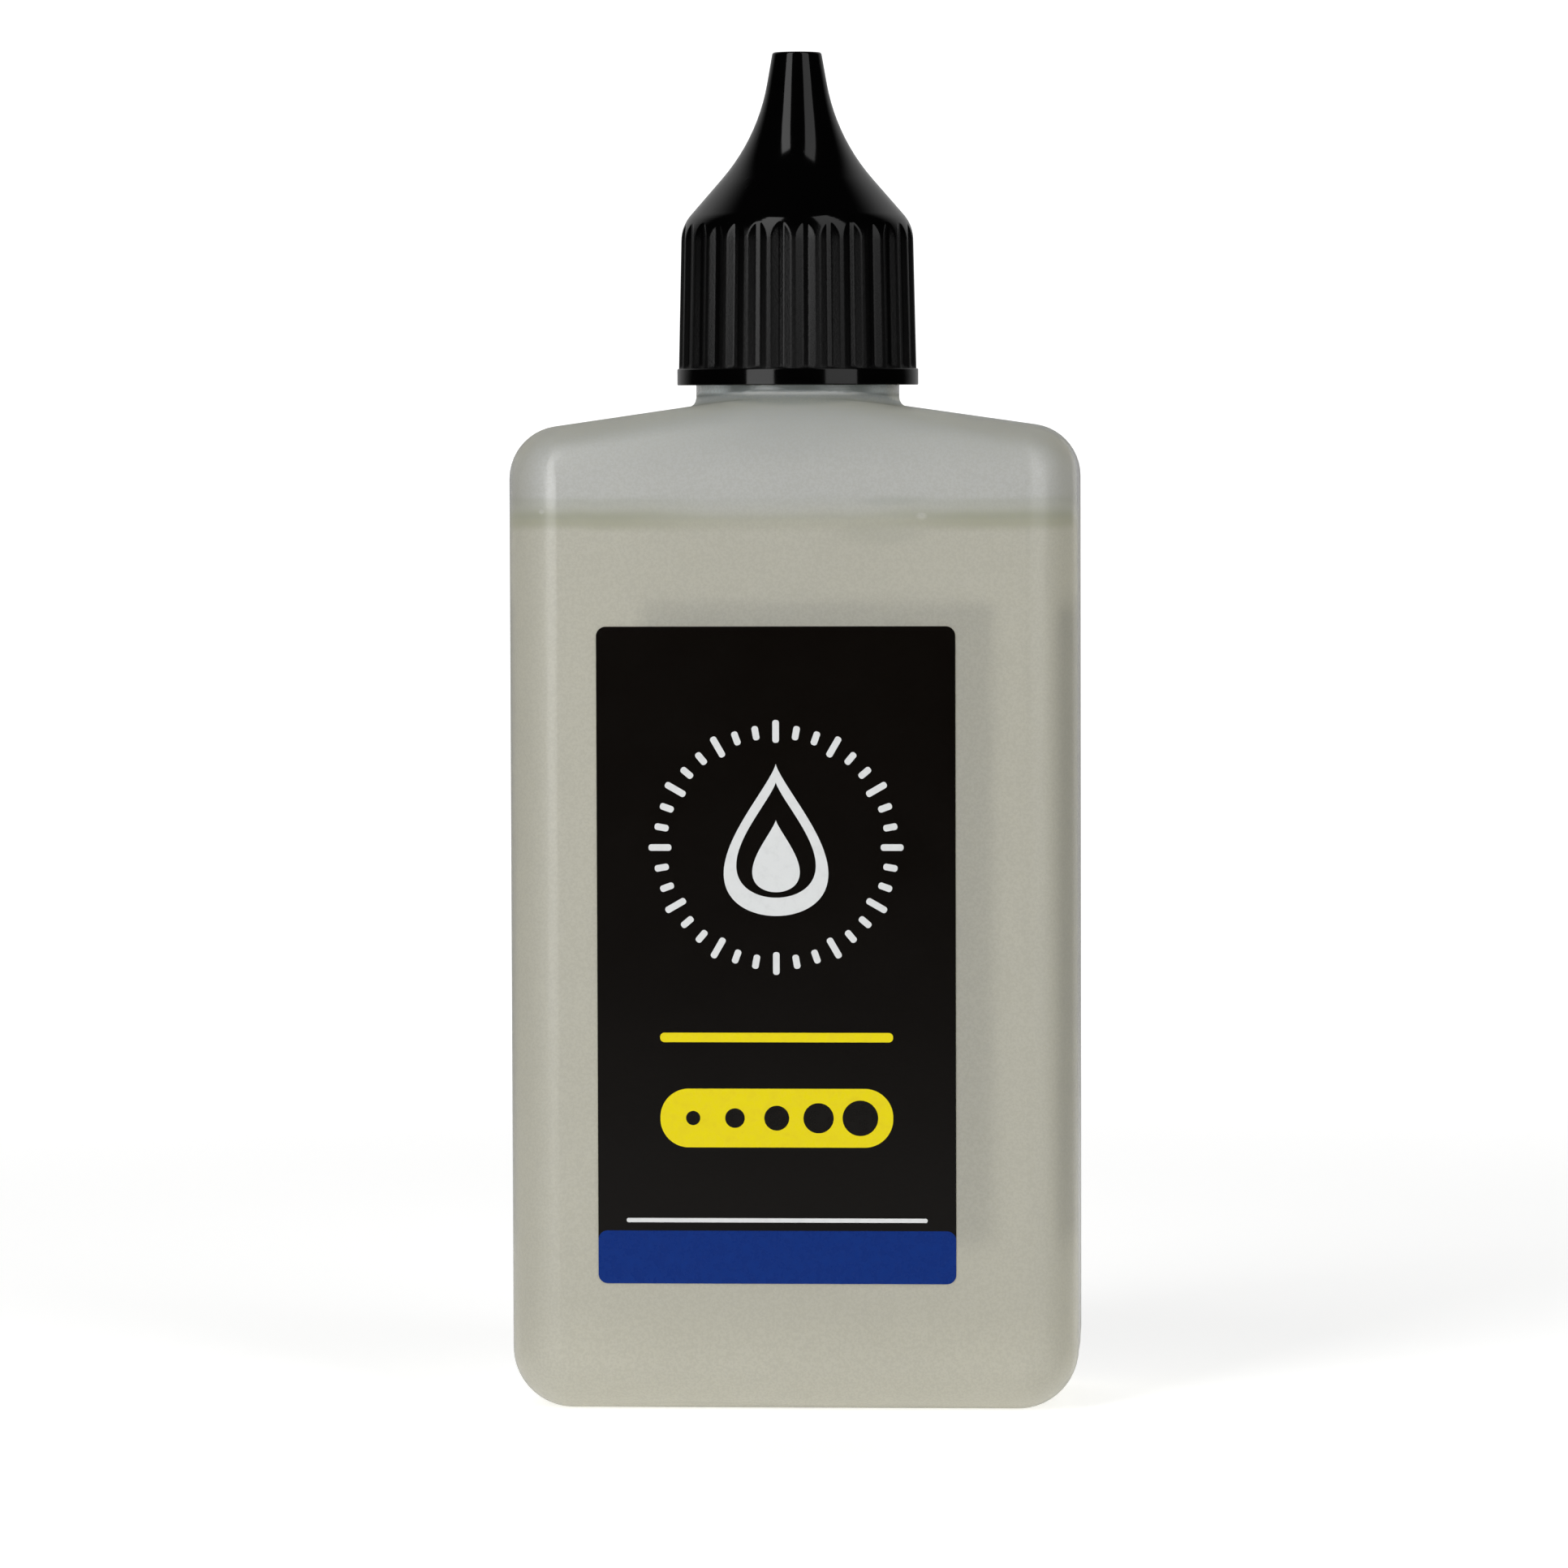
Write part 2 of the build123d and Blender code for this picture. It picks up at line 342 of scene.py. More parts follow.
def wall_places(tree, place):
    """Where a point of the wall is: its distance from the upright mid plane and from the axis,
    its height, and its height above the oil's line, which wavers by half a millimetre."""
    axes = node(tree, "SeparateXYZ", None, Vector=place).outputs
    flat = node(tree, "CombineXYZ", None, X=axes[0], Y=axes[1]).outputs[0]
    waver = number(tree, "MULTIPLY_ADD", noise(tree, place, size=0.006), 0.0009, -0.00045)
    return {
        "place": place,
        "across": axes[0],
        "off_middle": number(tree, "ABSOLUTE", axes[0]),
        "off_axis": length_of(tree, flat),
        "height": axes[2],
        "over_line": number(tree, "SUBTRACT", number(tree, "ADD", axes[2], waver), fill_level),
    }


# %% Tones of body, shoulder, neck and bore, with painted light and shade
shoulder_ends_strength = 0.4


def body_tones(tree, at):
    """The body's tone with oil or air behind it, then painted light and shade over it: a paler
    foot, a darker shoulder and neck root, a paler neck and a dark bore. Also gives the shares of
    air, neck and bore, which the finish needs."""
    air = within(tree, at["over_line"], "air behind")
    tone = lay(tree, (*tones["oil behind"], 1), air, "air behind")
    # Painted light: a paler foot, as if lit by the floor below it.
    tone = lay(tree, tone, within(tree, at["height"], "foot"), "foot")

    # Painted shade: a darker shoulder, darker still towards its ends.
    shoulder = within(tree, at["height"], "shoulder")
    tone = lay(tree, tone, shoulder, "shoulder")
    ends = times(tree, shoulder, within(tree, at["off_middle"], "shoulder ends"))
    tone = lay(tree, tone, ends, "shoulder ends", shoulder_ends_strength)

    # Painted shade: a dark bluish ring round the neck's root.
    near_neck = within(tree, at["off_axis"], "neck root radius")
    root = times(tree, near_neck, within(tree, at["height"], "neck root"))
    tone = lay(tree, tone, root, "neck root")
    # Painted light: the neck under the cap's rim is paler and bluer, for light carried in its wall.
    neck = within(tree, at["height"], "neck")
    tone = lay(tree, tone, neck, "neck")
    tone = lay(tree, tone, within(tree, at["height"], "neck in the cap"), "neck in the cap")

    # Painted shade: the bore's inside is dark.
    in_bore = within(tree, at["off_axis"], "bore radius")
    bore = times(tree, in_bore, within(tree, at["height"], "bore"))
    return lay(tree, tone, bore, "bore"), air, neck, bore


# %% Wet band and painted dark line at the oil's line, and painted shade and light on the narrow sides
wet_middle = 0.12  # strength of the wet band in the middle of the front
wet_more = 0.21  # and how much stronger it is towards the sides
# The fine line is painted shade where the oil's surface meets the wall.
fine_line_height = 0.2 * MM
fine_line_strength = 0.07
side_with_oil = 0.18
side_more_with_air = 0.28
right_rim = (0.86, 0.96)  # sideways part of the surface normal, from none to full
left_rim = (-0.94, -1.0)
left_rim_share = 0.45
rim_strength = 0.8


def oil_line(tree, at, tone):
    """A darker band where oil wets the wall, denser at its foot, with a fine dark line of painted
    shade in it where the oil's surface meets the wall.
    """
    above = at["over_line"]
    band = times(tree, within(tree, above, "wet top"), within(tree, above, "wet foot"))
    denser = number(tree, "MULTIPLY_ADD", within(tree, above, "wetter"), 0.5, 0.5)
    to_side = within(tree, at["off_middle"], "towards the sides")
    strength = number(tree, "MULTIPLY_ADD", to_side, wet_more, wet_middle)
    wet_and_line_shade = times(tree, times(tree, band, denser), strength)
    # Painted shade: a fine dark line where the oil's surface meets the wall.
    from_line = number(tree, "SUBTRACT", above, fine_line_height)
    line = within(tree, number(tree, "ABSOLUTE", from_line), "fine line")
    wet_and_line_shade = number(tree, "ADD", wet_and_line_shade, times(tree, line, fine_line_strength))
    return lay(tree, tone, wet_and_line_shade, "wet_band_and_line_shade", kind="MULTIPLY")


def narrow_sides(tree, at, tone, air):
    """Painted shade: the wall is seen at length near the sides, so it is painted darker there, and
    more so with air behind it. Painted light: the flats of the two narrow sides catch light from
    the sweep, so they are painted paler."""
    # Painted shade, darker towards the sides, then a painted pale rim on the flats.
    side = within(tree, at["off_middle"], "narrow side")
    darker = number(tree, "MULTIPLY_ADD", air, side_more_with_air, side_with_oil)
    tone = lay(tree, tone, times(tree, side, darker), "narrow side")
    normal = node(tree, "NewGeometry").outputs["Normal"]
    sideways = node(tree, "SeparateXYZ", None, Vector=normal).outputs[0]
    left = times(tree, rise(tree, sideways, *left_rim), left_rim_share)
    rim = number(tree, "MAXIMUM", rise(tree, sideways, *right_rim), left)
    return lay(tree, tone, rim, "side rim", rim_strength)


# %% Painted glints of air, painted reflections, mottling and specks
# Each spot: across from the middle, up from the oil's line, half width and half height, in mm.
# Air caught at the oil's line, painted as pale glints.
bubbles = ((13.7, 0.25, 0.75, 0.5), (-26.2, 0.75, 0.4, 0.35))
# Painted reflections in the oil's surface: a darker patch below the line and its mirror image above
# it.
painted_reflections = ((9.4, -1.6, 6.0, 1.7), (10.5, 1.8, 4.0, 0.7))
spot_depth = 2.0  # how far into the bottle a spot on the front wall may reach
bubble_glint_strength = 0.45
painted_reflection_strength = 0.2
mottle_strength = 0.06
frost_strength = 0.24
speck_strength = 0.5
speck_spacing = 0.011


def front_spot(tree, place, across, up, half_width, half_height):
    """1 inside a soft oval on the front wall near the oil's line, and 0 outside it."""
    centre = (across * MM, front_wall, fill_level + up * MM)
    reach = (1 / (half_width * MM), 1 / (spot_depth * MM), 1 / (half_height * MM))
    apart = node(tree, "VectorMath", {"operation": "SUBTRACT"}, n0=place, n1=centre).outputs[0]
    apart = node(tree, "VectorMath", {"operation": "MULTIPLY"}, n0=apart, n1=reach).outputs[0]
    return rise(tree, length_of(tree, apart), 1.0, 0.3)


def wall_flaws(tree, at, tone):
    """Painted reflections in the oil's surface and painted glints of air caught at its line, then
    cloudy mottling, fine frost and rare specks.
    """
    place = at["place"]
    # Painted reflections in the oil's surface.
    for painted_reflection in painted_reflections:
        tone = lay(tree, tone, front_spot(tree, place, *painted_reflection), "painted_reflection", painted_reflection_strength)
    # Painted glints of air caught at the oil's line.
    for bubble_glint in bubbles:
        tone = lay(tree, tone, front_spot(tree, place, *bubble_glint), "bubble_glint", bubble_glint_strength)
    mottle = rise(tree, noise(tree, place, size=0.009, detail=4.0, roughness=0.6), 0.25, 0.75)
    tone = lay(tree, tone, mottle, "mottle", mottle_strength)
    frost = rise(tree, noise(tree, place, size=0.00026, detail=1.0, roughness=0.6), 0.35, 0.65)
    tone = lay(tree, tone, frost, "frost", frost_strength)
    cells = node(tree, "TexVoronoi", {"feature": "F1"}, Vector=place, Scale=1 / speck_spacing).outputs
    lot = node(tree, "SeparateColor", None, Color=cells["Color"]).outputs[0]
    specks = times(tree, rise(tree, cells["Distance"], 0.032, 0.02), rise(tree, lot, 0.86, 0.9))
    return lay(tree, tone, specks, "speck", speck_strength)


# %% Soft upright edges, waves and grain of the wall
flat_half = 23.9  # half of the front's flat width
flat_middle = -0.2
ease_width = 1.6
edge_softness = 0.15


def wall_normal(tree, at):
    """Past the flat of the front the height falls away, at first by a parabola and then evenly,
    so that light rolls round the edge more softly. Long waves and a fine grain come over that."""
    past = number(tree, "SUBTRACT", at["across"], flat_middle * MM)
    past = number(tree, "SUBTRACT", number(tree, "ABSOLUTE", past), flat_half * MM)
    ease = number(tree, "POWER", number(tree, "DIVIDE", past, ease_width * MM, clamp=True), 2.0)
    beyond = number(tree, "MAXIMUM", number(tree, "SUBTRACT", past, ease_width * MM), 0.0)
    fall = number(tree, "MULTIPLY_ADD", ease, ease_width / 2 * MM, beyond)
    soft = bump(tree, times(tree, fall, -edge_softness), distance=1.0)
    long_waves = noise(tree, at["place"], size=0.016, detail=1.0)
    waves = bump(tree, long_waves, distance=0.0004, strength=0.25, normal=soft)
    grain = noise(tree, at["place"], size=0.0004, detail=3.0, roughness=0.6)
    return bump(tree, grain, distance=0.00004, strength=0.6, normal=waves)


# %% Milky wall material
glow_share = 0.50
neck_glow_less = 0.45  # the neck is thicker, so less light glows through it
clear_share = 0.18
neck_clear_more = 0.58  # but it shows the nozzle behind it, where it is seen face on
neck_aslant = (0.2, 0.38)  # facing share, from face on to aslant
neck_clear_fall = 0.76
air_mirror_more = 0.8  # with air behind it, the wall's inner face mirrors as well
shoulder_mirror_less = 0.75


def mirror_share(tree, at, air, neck, normal):
    """Fresnel's share of gloss, more with air behind the wall and less on the dull shoulder."""
    mirror = node(tree, "Fresnel", None, IOR=1.45, Normal=normal).outputs[0]
    twice = number(tree, "MULTIPLY_ADD", air, air_mirror_more, 1.0)
    dull = number(tree, "SUBTRACT", within(tree, at["height"], "dull shoulder"), neck)
    twice = times(tree, twice, number(tree, "MULTIPLY_ADD", dull, -shoulder_mirror_less, 1.0))
    return number(tree, "MULTIPLY", mirror, twice, clamp=True)


def clear_through(tree, neck, bore):
    """The share that passes nearly straight: a little everywhere, more through the neck where
    it is seen face on, as glass does, and none in the bore."""
    aslant = node(tree, "LayerWeight", None, Blend=0.5).outputs["Facing"]
    deep = rise(tree, aslant, *neck_aslant)
    neck_share = number(tree, "MULTIPLY_ADD", deep, -neck_clear_fall, neck_clear_more)
    share = number(tree, "MULTIPLY_ADD", neck, neck_share, clear_share)
    return times(tree, share, number(tree, "SUBTRACT", 1.0, bore))


def milky_wall():
    """Blown polyethylene: a coat that scatters, light that glows and passes through, and gloss."""
    material, tree, output, place = new_material("milky polyethylene")
    at = wall_places(tree, place)
    tone, air, neck, bore = body_tones(tree, at)
    tone = oil_line(tree, at, tone)
    tone = narrow_sides(tree, at, tone, air)
    tone = wall_flaws(tree, at, tone)
    normal = wall_normal(tree, at)

    coat = node(tree, "BsdfDiffuse", None, Color=tone, Normal=normal).outputs[0]
    glow = node(tree, "BsdfTranslucent", None, Color=tone, Normal=normal).outputs[0]
    glowing = number(tree, "MULTIPLY_ADD", neck, -neck_glow_less, glow_share)
    milk = mix_shaders(tree, glowing, coat, glow)
    clear = node(tree, "BsdfRefraction", None, Color=WHITE, Roughness=0.28, IOR=1.5).outputs[0]
    through = clear_through(tree, neck, bore)
    wall = mix_shaders(tree, through, milk, clear)
    gloss = node(tree, "BsdfGlossy", None, Color=WHITE, Roughness=0.26, Normal=normal).outputs[0]
    mirror = mirror_share(tree, at, air, neck, normal)
    wall = mix_shaders(tree, mirror, wall, gloss)
    behind = node(tree, "NewGeometry").outputs["Backfacing"]
    gone = node(tree, "BsdfTransparent").outputs[0]
    shown = mix_shaders(tree, behind, wall, gone)
    tree.links.new(shown, output.inputs["Surface"])
    print(f"{material.name}: {len(tree.nodes)} nodes")
    return material


wall_material = milky_wall()
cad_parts["bottle"].material_slots[0].material = wall_material


# %% [markdown]
# ## Oil
# The oil is clear and straw coloured. It lies against the wall, where plastic and oil bend
# light alike, so its sides need no gloss of their own: a tint for what passes is enough.
# Only its free surface mirrors what is above it.

# %% Oil material
oil_tints = ((0.985, 0.962, 0.862, 1), (0.975, 0.945, 0.835, 1))
surface_depth = (0.2 * MM, 0.1 * MM)  # the free surface starts this far below the oil's top


def straw_oil():
    """Clear straw oil: a tint at each crossing, and a mirror by Fresnel on the free surface."""
    material, tree, output, place = new_material("straw oil")
    height = node(tree, "SeparateXYZ", None, Vector=place).outputs[2]
    tint = blend_colours(tree, noise(tree, place, size=0.02), *oil_tints)
    clear = node(tree, "BsdfTransparent", None, Color=tint).outputs[0]
    mirror = node(tree, "BsdfGlossy", None, Roughness=0.03).outputs[0]
    at_top = rise(tree, height, fill_level - surface_depth[0], fill_level - surface_depth[1])
    share = times(tree, node(tree, "Fresnel", None, IOR=1.47).outputs[0], at_top)
    shown = mix_shaders(tree, share, clear, mirror)
    tree.links.new(shown, output.inputs["Surface"])
    print(f"{material.name}: {len(tree.nodes)} nodes")
    return material


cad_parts["lubricant"].material_slots[0].material = straw_oil()


# %% [markdown]
# ## Dropper nozzle
# The nozzle is an injection-moulded insert of the same kind of plastic, whiter and less clear
# than the bottle because it is thicker. Its solid already has every bend of the real one, so
# it only needs a finish: soft light inside, a satin skin and faint turning marks.

# %% Nozzle material
def milky_nozzle():
    """White polyethylene with a satin skin and light under it."""
    material, tree, output, place = new_material("white polyethylene")
    cloud = noise(tree, place, size=0.004, detail=3.0)
    grain = noise(tree, place, size=0.0003, detail=3.0)
    return satin_skin(
        material,
        tree,
        output,
        Base_Color=blend_colours(tree, cloud, colour(226, 227, 222), colour(216, 216, 210)),
        Roughness=number(tree, "MULTIPLY_ADD", cloud, 0.12, 0.3),
        Normal=bump(tree, grain, distance=0.00002, strength=0.3),
        Subsurface_Weight=0.4,
        Subsurface_Radius=(1.0, 0.95, 0.85),
        Subsurface_Scale=0.0012,
    )


nozzle_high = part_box("dropper_nozzle")[1]
core_radius = nozzle_high[0] / MM
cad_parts["dropper_nozzle"].material_slots[0].material = milky_nozzle()
print(f"neck core is {2 * core_radius:.1f} mm across")


# %% [markdown]
# ## Screw cap
# The cap is injection-moulded black polypropylene: a plain band, a fluted skirt, a rounded
# shoulder and a slim spire. The mould's polish shows as mirror gloss on the spire, and the
# flutes are a little duller. On a solid the flutes end in knife edges, but on the real cap
# each edge is rounded by a tenth of a millimetre and catches a thin line of light.
# So the cap is computed again: one turned section, less a flute that is cut by a smooth
# minimum, which rounds the edge where cutter and skirt meet.

# %% Section of the cap, from the seal pin inside to the tip outside
cap_low, cap_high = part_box("screw_cap")
cap_rim = cap_low[2] / MM
cap_top = cap_high[2] / MM
band_radius = cap_high[0] / MM
flange_top = 122.7  # of the nozzle, where the cap's seal ring rests
spout_top = nozzle_high[2] / MM

band_height = 1.75
band_proud = 0.17
skirt_height = 16.95
skirt_draft = radians(1.25)
shoulder_angle = radians(41.0)
shoulder_round = 4.3
spire_angle = radians(10.0)
spire_round = 21.0
tip_radius = 2.6
cap_wall = 1.15
cap_top_wall = 1.4
skirt_wall = 1.53
mouth_chamfer = 0.4
seal_ring = (8.15, 9.05)  # inner and outer radius
seal_pin = (0.45, 1.5)  # radius, and how far it reaches into the nozzle
edge_round = 0.12
root_round = 0.2  # where the seal ring meets the shoulder, and at the mouth
bore_round = 3.0
band_root = 0.05
tip_round = 0.3

skirt_foot = cap_rim + band_height
skirt_foot_radius = band_radius - band_proud
bore_radius = skirt_foot_radius - skirt_wall
skirt_top = cap_rim + skirt_height
skirt_top_radius = skirt_foot_radius - (skirt_top - skirt_foot) * tan(skirt_draft)
ceiling = cap_top - cap_top_wall


def cone_reach(inset):
    """Radius that the shoulder's and the spire's cone would have at height 0, drawn in by inset."""
    shoulder = skirt_top_radius + skirt_top * tan(shoulder_angle) - inset / cos(shoulder_angle)
    spire = tip_radius + cap_top * tan(spire_angle) - inset / cos(spire_angle)
    return shoulder, spire


def bends(inset, foot_radius, foot, draft):
    """Corners where skirt and shoulder, and shoulder and spire, would meet."""
    shoulder, spire = cone_reach(inset)
    bend = (shoulder - foot_radius - foot * tan(draft)) / (tan(shoulder_angle) - tan(draft))
    waist = (shoulder - spire) / (tan(shoulder_angle) - tan(spire_angle))
    return (shoulder - bend * tan(shoulder_angle), bend), (spire - waist * tan(spire_angle), waist)


def on_shoulder(radius, inset):
    """Height of the shoulder cone at a radius."""
    return (cone_reach(inset)[0] - radius) / tan(shoulder_angle)


inner_bend, inner_waist = bends(cap_wall, bore_radius, cap_rim, 0)
outer_bend, outer_waist = bends(0, skirt_foot_radius, skirt_foot, skirt_draft)
inside = rounded_path(
    [
        (0, spout_top - seal_pin[1]),
        (seal_pin[0], spout_top - seal_pin[1]),
        (seal_pin[0], ceiling),
        (cone_reach(cap_wall)[1] - ceiling * tan(spire_angle), ceiling),
        inner_waist,
        (seal_ring[0], on_shoulder(seal_ring[0], cap_wall)),
        (seal_ring[0], flange_top),
        (seal_ring[1], flange_top),
        (seal_ring[1], on_shoulder(seal_ring[1], cap_wall)),
        inner_bend,
        (bore_radius, cap_rim + mouth_chamfer),
        (bore_radius + mouth_chamfer, cap_rim),
    ],
    [
        *[edge_round] * 3,
        spire_round,
        root_round,
        *[edge_round] * 2,
        root_round,
        bore_round,
        root_round,
    ],
    step=10,
    small_step=40,
)
outside = rounded_path(
    [
        (bore_radius + mouth_chamfer, cap_rim),
        (band_radius, cap_rim),
        (band_radius, skirt_foot),
        (skirt_foot_radius, skirt_foot),
        outer_bend,
        outer_waist,
        (tip_radius, cap_top),
        (0, cap_top),
    ],
    [edge_round, edge_round, band_root, shoulder_round, spire_round, tip_round],
    step=3,
    small_step=15,
)
print(f"cap section: {len(inside)} points inside, {len(outside)} outside")


# %% Flutes cut from the turned section
flute_count = 30
flute_depth = 0.34
flute_floor = 0.5  # width of the flat floor
flute_flank = radians(20.0)  # between the floor and a flank
flute_turn = radians(-5.1)  # from the front to a flute, where the tightened cap comes to a stop
flute_edge = 0.05  # how far in height the edge beside a land is rounded
flute_foot_round = 0.55

pitch_angle = 2 * pi / flute_count
# Columns from a flute's middle to the middle of a land, closer together at the edge between.
half_flute = np.array([0, 0.12, 0.19, 0.27, 0.38, 0.49, 0.6, 0.7, 0.78, 0.84, 0.89, 0.94, 1.0])
flute_places = np.unique(np.concatenate([half_flute, -half_flute]))[:-1] * pitch_angle / 2
flute_middles = np.arange(flute_count)[:, None] * pitch_angle
turns = (flute_middles + flute_places[None]).ravel() - pi / 2 + flute_turn


def resample(path, extra_heights):
    """The path's own points, with more put in at these heights, which it climbs through."""
    length = np.concatenate([[0], np.cumsum(np.linalg.norm(np.diff(path, axis=0), axis=1))])
    climbing = np.flatnonzero(path[:, 1] > skirt_foot + 0.01)[0]
    more = np.interp(extra_heights, path[climbing:, 1], length[climbing:])
    stops = np.unique(np.round(np.concatenate([length, more]), 4))
    return np.stack([np.interp(stops, length, path[:, i]) for i in (0, 1)], axis=1)


def flute_cut(radius, height):
    """How deep the flutes go. At an angle a from a flute's middle, a flat floor at distance f
    from the axis leaves the radius f / cos a. A flank that leans by b beyond half a floor's
    width w leaves (f - w tan b) / (cos a - sin a tan b). The larger of the two is cut, the
    smooth minimum of that and the turned radius rounds the edges, and the foot is round."""
    angle = np.abs((turns - flute_turn + pi / 2 + pitch_angle / 2) % pitch_angle - pitch_angle / 2)
    floor = (skirt_foot_radius - flute_depth - (height - skirt_foot) * tan(skirt_draft))[:, None]
    lean = tan(flute_flank)
    flank = (floor - flute_floor / 2 * lean) / (np.cos(angle) - np.sin(angle) * lean)
    past = np.maximum(floor / np.cos(angle), flank) - radius[:, None]
    blend = np.maximum(flute_edge - np.abs(past), 0) / flute_edge
    depth = np.maximum(-past, 0) + blend**2 * flute_edge / 4
    climb = np.clip((height - skirt_foot) / flute_foot_round, 0, 1)
    return depth * np.sqrt(climb * (2 - climb))[:, None]


# %% Grid of the fluted cap, and where it is satin
arch_reach = (1.8, 0.7)  # how far the flutes' arches lie below and above the skirt's top
foot_rows = skirt_foot + np.linspace(0.04, flute_foot_round, 6)
arch_rows = np.linspace(skirt_top - arch_reach[0], skirt_top + arch_reach[1], 32)
outside_rows = resample(outside, np.concatenate([foot_rows, arch_rows]))
section = np.vstack([inside[:-1], outside_rows])
cut = np.zeros((len(section), len(turns)))
fluted = slice(len(inside) - 1, len(section))
cut[fluted] = flute_cut(*outside_rows.T) * (outside_rows[:, 1:] > skirt_foot)
around = section[:, :1] - cut
upright = np.broadcast_to(section[:, 1:], around.shape)
cap_grid = np.stack([around * np.cos(turns), around * np.sin(turns), upright], axis=-1)

polish_height = 2.0  # the satin skirt turns to gloss over this much below the shoulder
floor_satin = 0.6  # a flute's floor is less dull than its edges
handled = (1.15, 0.85)  # fingers dull the skirt's foot more than its top
on_skirt = (section[:, 0] > bore_radius + skirt_wall / 3) & (section[:, 1] > skirt_foot)
on_skirt = on_skirt * np.clip((skirt_top - section[:, 1]) / polish_height, 0, 1)
off_floor = np.clip((flute_depth - cut) / (flute_depth / 4), 0, 1)
wear = np.interp(section[:, 1], [skirt_foot, skirt_top], handled)
satin_mark = (on_skirt * wear)[:, None] * (floor_satin + (1 - floor_satin) * off_floor)
print(f"cap grid: {len(cap_grid)} rows, {len(turns)} columns, deepest cut {cut.max():.2f} mm")


# %% Black polypropylene
black_tones = ((0.0005, 0.0005, 0.0006, 1), (0.0011, 0.001, 0.001, 1))
satin_roughness = 0.34
scuff_stretch = (1.0, 1.0, 0.12)  # scuffs run upright


def black_polypropylene():
    """Gloss black, polished on the spire and duller in the flutes, with a few fine scuffs."""
    material, tree, output, place = new_material("gloss black polypropylene")
    satin = node(tree, "Attribute", {"attribute_name": "satin"}).outputs["Fac"]
    grain = noise(tree, place, size=0.00022, detail=3.0)
    cloud = noise(tree, place, size=0.003, detail=3.0)
    rough = number(tree, "MULTIPLY_ADD", cloud, 0.05, 0.06)
    stretched = node(tree, "Mapping", None, Vector=place, Scale=scuff_stretch).outputs[0]
    scuffs = rise(tree, noise(tree, stretched, size=0.0009), 0.68, 0.74)
    worn = bump(tree, scuffs, distance=0.00001, strength=0.25)
    return satin_skin(
        material,
        tree,
        output,
        Base_Color=blend_colours(tree, cloud, *black_tones),
        Roughness=number(tree, "MULTIPLY_ADD", satin, satin_roughness, rough),
        Normal=bump(tree, times(tree, grain, satin), distance=0.00005, strength=0.6, normal=worn),
        Specular_IOR_Level=0.24,
    )


cap_material = black_polypropylene()
cap = make_piece(
    "fluted_cap",
    cap_grid,
    grid_quads(*cap_grid.shape[:2]),
    cap_material,
    "cap",
    "black_polypropylene",
    marks={"satin": satin_mark},
)
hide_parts("screw_cap")


# %% [markdown]
# ## Threads
# The cap screws onto the neck. Each thread is a rounded ridge that winds up a cylinder and
# fades out at both ends, as moulded threads do. It is one profile carried along a helix.
# The cap's ridge lies half a turn's rise away from the neck's, so that they pass each other.

# %% Thread on the neck and thread in the cap
thread_pitch = 3.0
thread_turns = 2.25
thread_width = 1.5
thread_sunk = 0.25  # part of the ridge that lies inside the wall it stands on
thread_fade = 0.12  # turns over which an end fades out
neck_thread_height = 0.72
cap_thread_height = 0.55
neck_thread_foot = 111.6
ridge_side = np.linspace(-1, 1, 13)
ridge = np.stack([ridge_side * thread_width / 2, 1 - np.abs(ridge_side) ** 3], axis=1)


def thread(radius, rise_to, foot):
    """A ridge along a helix: the profile stands out by rise_to, less near the two ends, and
    its underside is sunk into the wall by a constant depth."""
    along = np.linspace(0, thread_turns, 220)
    angle = 2 * pi * along
    out = np.stack([np.cos(angle), np.sin(angle), np.zeros_like(angle)], axis=1)
    up = np.broadcast_to([0.0, 0.0, 1.0], out.shape)
    path = out * radius + np.stack([0 * along, 0 * along, foot + along * thread_pitch], axis=1)
    fade = np.clip(np.minimum(along, thread_turns - along) / thread_fade, 0, 1)
    swell = rise_to * np.sqrt(fade * (2 - fade))
    over = carry(path, out, up, ridge, swell)
    sunk = ridge[::-1] * (1, 0) - (0, np.sign(rise_to) * thread_sunk)
    under = carry(path, out, up, sunk, np.ones_like(along))
    return close_ends(np.concatenate([over, under], axis=1))


cap_thread_foot = neck_thread_foot - thread_pitch / 2
for name, on, finish, grid in (
    (
        "neck_thread",
        ("bottle", "natural_polyethylene"),
        wall_material,
        thread(core_radius, neck_thread_height, neck_thread_foot),
    ),
    (
        "cap_thread",
        ("cap", "black_polypropylene"),
        cap_material,
        thread(bore_radius, -cap_thread_height, cap_thread_foot),
    ),
):
    make_piece(name, grid, grid_quads(*grid.shape[:2]), finish, *on)


# %% [markdown]
# ## Parting line
# A blown bottle is closed between two mould halves, which leave a fine raised line up both
# narrow sides and over the shoulder. It is a low bead, carried along the outline of the body
# in the plane where the halves meet.

# %% Parting line up the sides and over the shoulder
half_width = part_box("bottle")[1][0] / MM
shoulder_peak = 107.6
shoulder_slope = radians(8.2)
foot_corner = 6.4
top_corner = 5.6
collar_radius = 10.83
bead_width = 0.26
bead_height = 0.05
bead_sunk = 0.05
bead_fade = 2.0
bead_foot = 0.4  # the line starts this far above the floor
eaves = shoulder_peak - half_width * tan(shoulder_slope)
bead_end = collar_radius + 1.2

outline = rounded_path(
    [
        (half_width - foot_corner, 0),
        (half_width, 0),
        (half_width, eaves),
        (bead_end, shoulder_peak - bead_end * tan(shoulder_slope)),
    ],
    [foot_corner, top_corner],
    step=3,
)
outline = outline[outline[:, 1] > bead_foot]
bead_side = np.linspace(-1, 1, 9)
bead = np.stack([bead_side * bead_width / 2, 1 - bead_side**2], axis=1)


